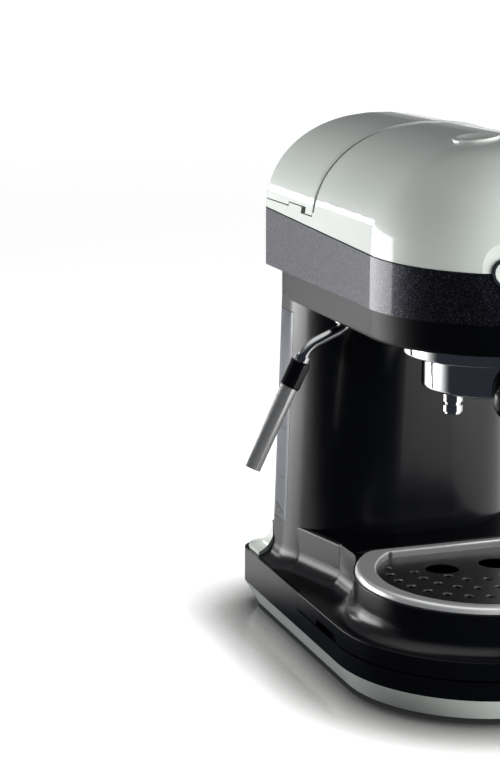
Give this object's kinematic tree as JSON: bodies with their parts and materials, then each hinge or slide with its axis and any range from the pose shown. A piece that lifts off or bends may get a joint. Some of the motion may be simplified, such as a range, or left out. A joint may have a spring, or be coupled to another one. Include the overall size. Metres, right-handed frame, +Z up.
{
  "type": "pump espresso machine",
  "caption": "Upright espresso machine with a domed head, bayonet portafilter, swivelling steam wand, pull-out drip tray and a water tank drawn out at the back.",
  "frame": {"origin": "on the worktop, straight below the middle of the brewing group", "axes": "+X to the side without the steam wand, +Y to the back, +Z up; the front faces -Y"},
  "size_m": [0.1988, 0.3365, 0.2975],
  "materials": {
    "pale_shell": "satin pale grey-green",
    "black_body": "satin black",
    "dark_band": "dark metallic with fine sparkle",
    "feet_rubber": "matt",
    "tank_clear": "smoked translucent plastic",
    "tray_steel": "polished pierced sheet",
    "group_chrome": "polished",
    "wand_steel": "polished",
    "black_grip": "gloss black",
    "dial_grey": "satin pale grey",
    "button_grey": "satin pale grey",
    "boiler_cast": "cast",
    "fitting_brass": "machined",
    "inner_plastic": "moulded",
    "hose_silicone": "soft",
    "board_green": "printed board"
  },
  "bodies": {
    "machine": {"feet": "feet_rubber", "base_pan": "pale_shell", "base_screws": "tray_steel", "plinth_deck": "black_body", "body_shell": "black_body", "column_shell": "black_body", "bay_roof": "black_body", "tank_seat": "pale_shell", "tank_socket": "black_body", "head_fascia": "black_body", "head_band": "dark_band", "dome_cover": "pale_shell", "lid_hinge_pins": "tray_steel", "filler_well": "inner_plastic", "group_flange": "group_chrome", "group_gasket": "feet_rubber", "shower_screen": "tray_steel", "shower_screw": "tray_steel", "boiler_base": "boiler_cast", "boiler_top": "boiler_cast", "boiler_bolts": "tray_steel", "group_screws": "tray_steel", "heating_element": "wand_steel", "thermostats": "inner_plastic", "wand_nut": "black_grip", "wand_fitting": "fitting_brass", "steam_valve": "fitting_brass", "selector_switch": "inner_plastic", "power_bezel": "button_grey", "brew_bezel": "button_grey", "power_switch": "inner_plastic", "brew_switch": "inner_plastic", "vibration_pump": "inner_plastic", "pump_yoke": "tray_steel", "pump_mounts": "feet_rubber", "suction_hose": "hose_silicone", "delivery_pipe": "wand_steel", "steam_pipe": "wand_steel", "control_board": "board_green", "cord_gland": "feet_rubber"},
    "drip_tray": {"drip_tray": "black_body"},
    "drip_cover": {"drip_cover": "tray_steel"},
    "water_tank": {"water_tank": "tank_clear", "tank_spigot": "tank_clear"},
    "portafilter": {"portafilter_cup": "group_chrome", "filter_basket": "tray_steel", "handle_collar": "black_grip", "portafilter_handle": "black_grip"},
    "steam_wand": {"wand_pipe": "wand_steel", "wand_collar": "black_grip"},
    "frother": {"wand_grip": "black_grip", "froth_tube": "wand_steel"},
    "steam_dial": {"steam_dial": "dial_grey", "steam_stem": "fitting_brass"},
    "function_dial": {"function_dial": "dial_grey", "selector_stem": "fitting_brass"},
    "power_button": {"power_button": "button_grey"},
    "brew_button": {"brew_button": "button_grey"},
    "rear_lid": {"rear_lid": "pale_shell"}
  },
  "joints": [
    {"name": "tray_slide", "type": "slide", "parent": "machine", "child": "drip_tray", "axis": [0, -1, 0], "range_m": [0, 0.15]},
    {"name": "cover_lift", "type": "slide", "parent": "drip_tray", "child": "drip_cover", "axis": [0, 0, 1], "range_m": [0, 0.03]},
    {"name": "tank_slide", "type": "slide", "parent": "machine", "child": "water_tank", "axis": [0, 1, 0], "range_m": [0, 0.06]},
    {"name": "portafilter_lock", "type": "hinge", "parent": "machine", "child": "portafilter", "pos_m": [0, 0, 0.1635], "axis": [0, 0, 1], "range_deg": [-45, 0]},
    {"name": "wand_swivel", "type": "hinge", "parent": "machine", "child": "steam_wand", "pos_m": [-0.057, 0.06, 0.205], "axis": [0, 0, 1], "range_deg": [-45, 70]},
    {"name": "frother_pull", "type": "slide", "parent": "steam_wand", "child": "frother", "axis": [-0.4384, 0, -0.8988], "range_m": [0, 0.026]},
    {"name": "steam_turn", "type": "hinge", "parent": "machine", "child": "steam_dial", "pos_m": [-0.014, -0.006, 0.29525], "axis": [-0.1155, -0.0165, 0.9932], "range_deg": [0, 270]},
    {"name": "function_turn", "type": "hinge", "parent": "machine", "child": "function_dial", "pos_m": [0.014, -0.006, 0.29525], "axis": [0.1155, -0.0165, 0.9932], "range_deg": [-60, 60]},
    {"name": "power_press", "type": "slide", "parent": "machine", "child": "power_button", "axis": [0.3662, 0.9305, 0], "range_m": [0, 0.0016], "stiffness_N_per_m": 400, "springref_m": -0.0005},
    {"name": "brew_press", "type": "slide", "parent": "machine", "child": "brew_button", "axis": [-0.3662, 0.9305, 0], "range_m": [0, 0.0016], "stiffness_N_per_m": 400, "springref_m": -0.0005},
    {"name": "lid_open", "type": "hinge", "parent": "machine", "child": "rear_lid", "pos_m": [0, 0.1668, 0.2476], "axis": [-1, 0, 0], "range_deg": [0, 85]}
  ]
}
